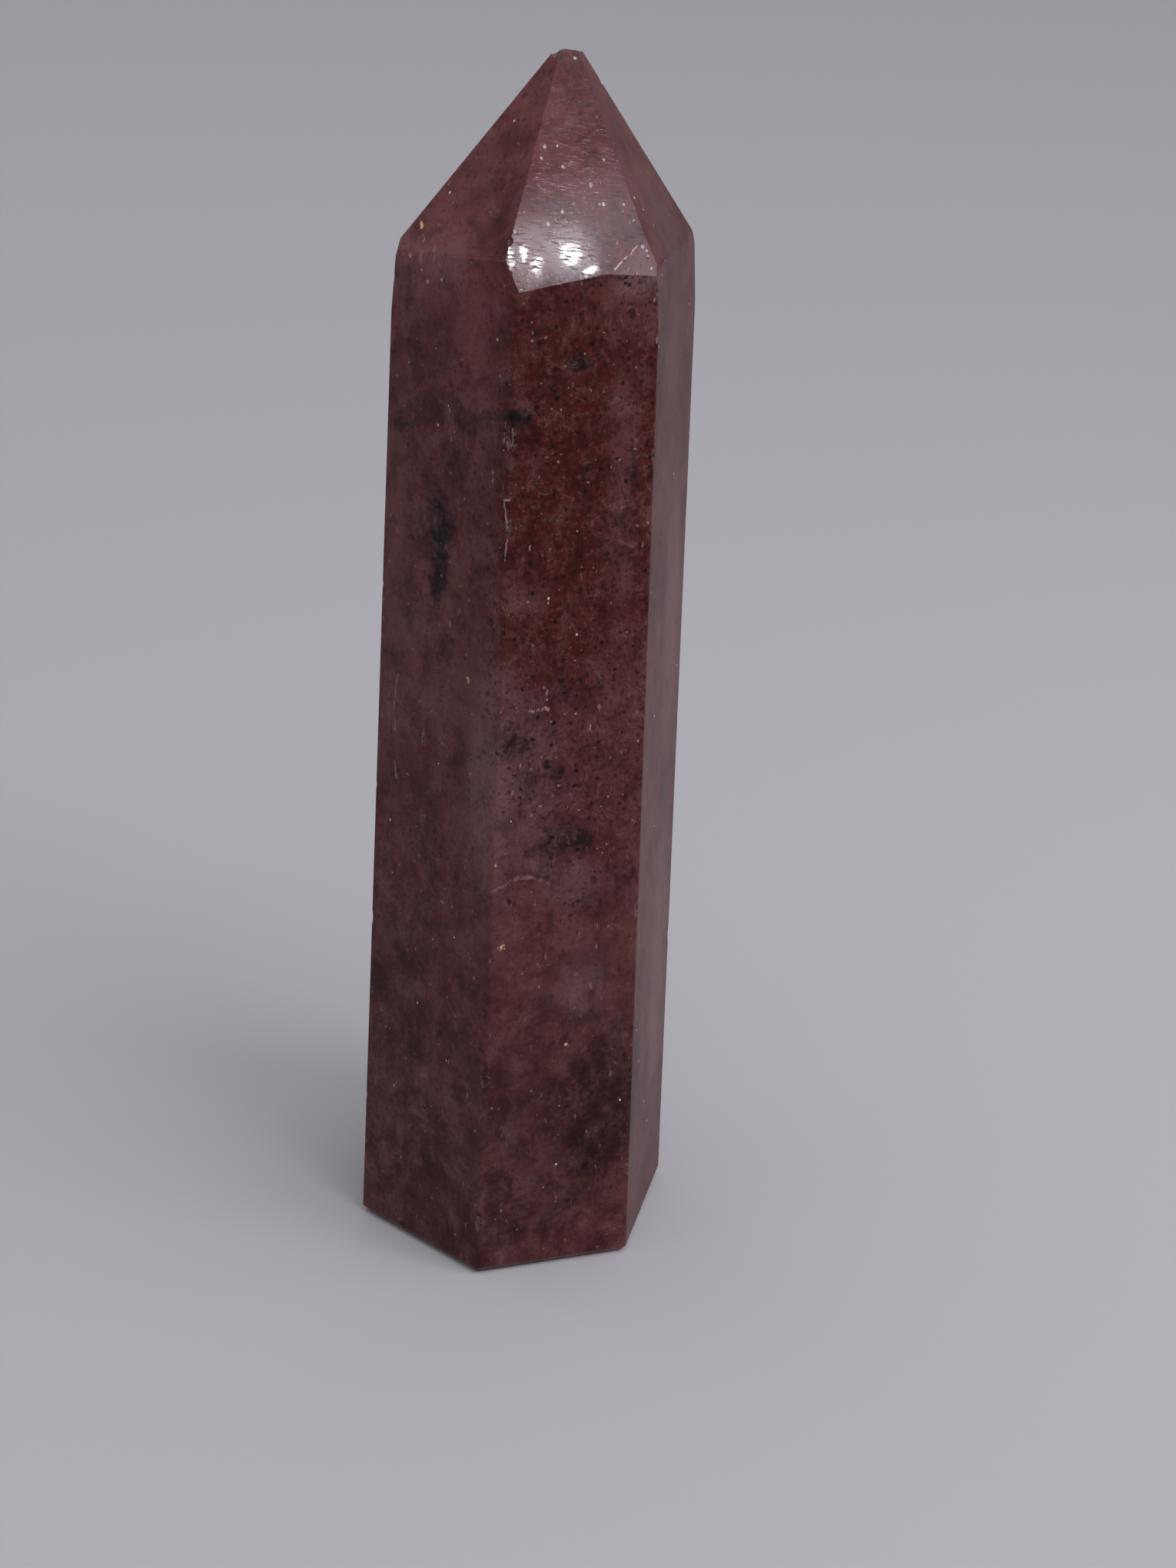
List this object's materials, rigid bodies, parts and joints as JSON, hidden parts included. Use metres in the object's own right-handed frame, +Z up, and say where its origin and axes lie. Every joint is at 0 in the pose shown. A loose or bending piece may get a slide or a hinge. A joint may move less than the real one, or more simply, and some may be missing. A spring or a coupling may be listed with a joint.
{
  "type": "strawberry quartz point",
  "caption": "Cut and polished hexagonal stone tower with a faceted, slightly blunt point, standing on a flat sawn foot.",
  "frame": {"origin": "on the flat foot, where the axis of the prism's sides comes out of the stone", "axes": "+Z up from the foot to the tip, -Y towards the front of the stone, +X to its right"},
  "size_m": [0.0266, 0.0274, 0.1],
  "materials": {
    "strawberry_quartz": "polished, cloudy red-brown with dark pin-points and pale flecks"
  },
  "bodies": {
    "root": {"quartz_point": "strawberry_quartz"}
  },
  "joints": []
}
